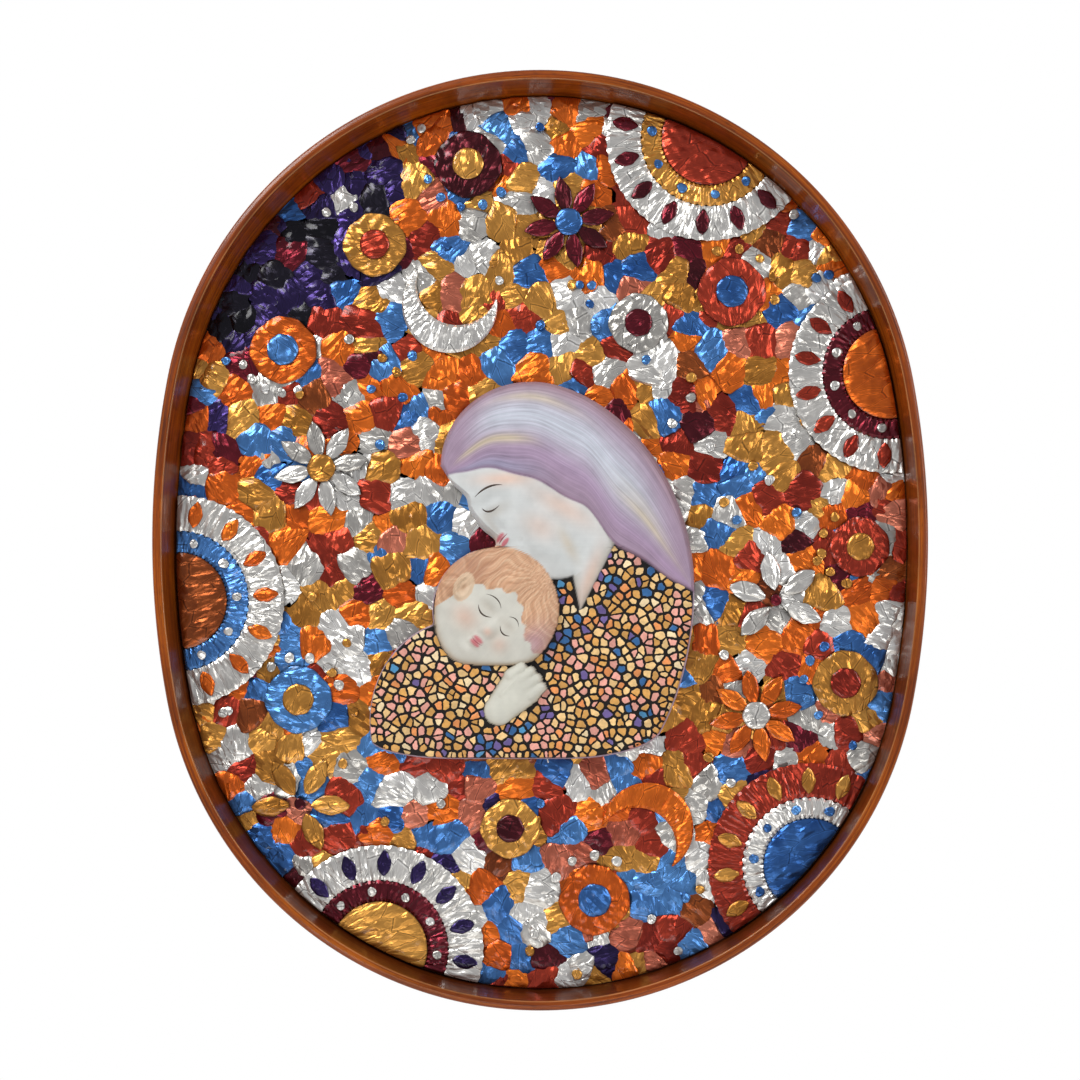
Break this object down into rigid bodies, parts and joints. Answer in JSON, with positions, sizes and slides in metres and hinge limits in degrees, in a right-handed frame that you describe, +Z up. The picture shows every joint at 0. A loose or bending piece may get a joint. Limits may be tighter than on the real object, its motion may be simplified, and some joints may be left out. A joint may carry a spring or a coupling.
{
  "type": "mosaic wall panel",
  "caption": "Oval wall panel: a crumpled foil mosaic with foil ornaments round a carved mother and child, set deep in a wooden frame.",
  "frame": {"origin": "centre of the flat back face, on the wall plane", "axes": "+X right seen from the front, +Y back into the wall, +Z up; the front faces -Y"},
  "size_m": [0.4702, 0.03, 0.57],
  "materials": {
    "blue": "satin blue foil, crumpled",
    "board": "bare hardboard",
    "copper": "satin copper foil, crumpled",
    "foil_mixed": "crumpled coloured foil in many colours",
    "gold": "satin gold foil, crumpled",
    "maroon": "satin maroon foil, crumpled",
    "orange": "satin orange foil, crumpled",
    "plaster": "matt painted cast plaster",
    "red": "satin red foil, crumpled",
    "silver": "satin silver foil, crumpled",
    "wood": "glossy varnished hardwood"
  },
  "bodies": {
    "root": {"back_board": "board", "crescent_lower": "orange", "crescent_upper": "silver", "daisy_left_core": "gold", "daisy_left_petals": "silver", "daisy_right_core": "silver", "daisy_right_petals": "orange", "daisy_upper_core": "blue", "daisy_upper_petals": "maroon", "figure_group": "plaster", "foil_bed": "foil_mixed", "frame": "wood", "leaf_spray_left": "gold", "leaf_spray_right": "silver", "roundel_01_core": "gold", "roundel_01_disc": "maroon", "roundel_02_core": "red", "roundel_02_disc": "gold", "roundel_03_core": "blue", "roundel_03_disc": "orange", "roundel_04_core": "maroon", "roundel_04_disc": "silver", "roundel_05_core": "gold", "roundel_05_disc": "red", "roundel_06_core": "blue", "roundel_06_disc": "red", "roundel_07_core": "gold", "roundel_07_disc": "blue", "roundel_08_core": "blue", "roundel_08_disc": "orange", "roundel_09_core": "maroon", "roundel_09_disc": "gold", "roundel_10_core": "red", "roundel_10_disc": "gold", "sun_bottom_band": "silver", "sun_bottom_core": "gold", "sun_bottom_ring": "maroon", "sun_left_band": "silver", "sun_left_core": "copper", "sun_left_ring": "blue", "sun_lower_band": "red", "sun_lower_core": "blue", "sun_lower_ring": "silver", "sun_right_band": "silver", "sun_right_core": "orange", "sun_right_ring": "maroon", "sun_upper_band": "silver", "sun_upper_core": "red", "sun_upper_ring": "gold"}
  },
  "joints": []
}
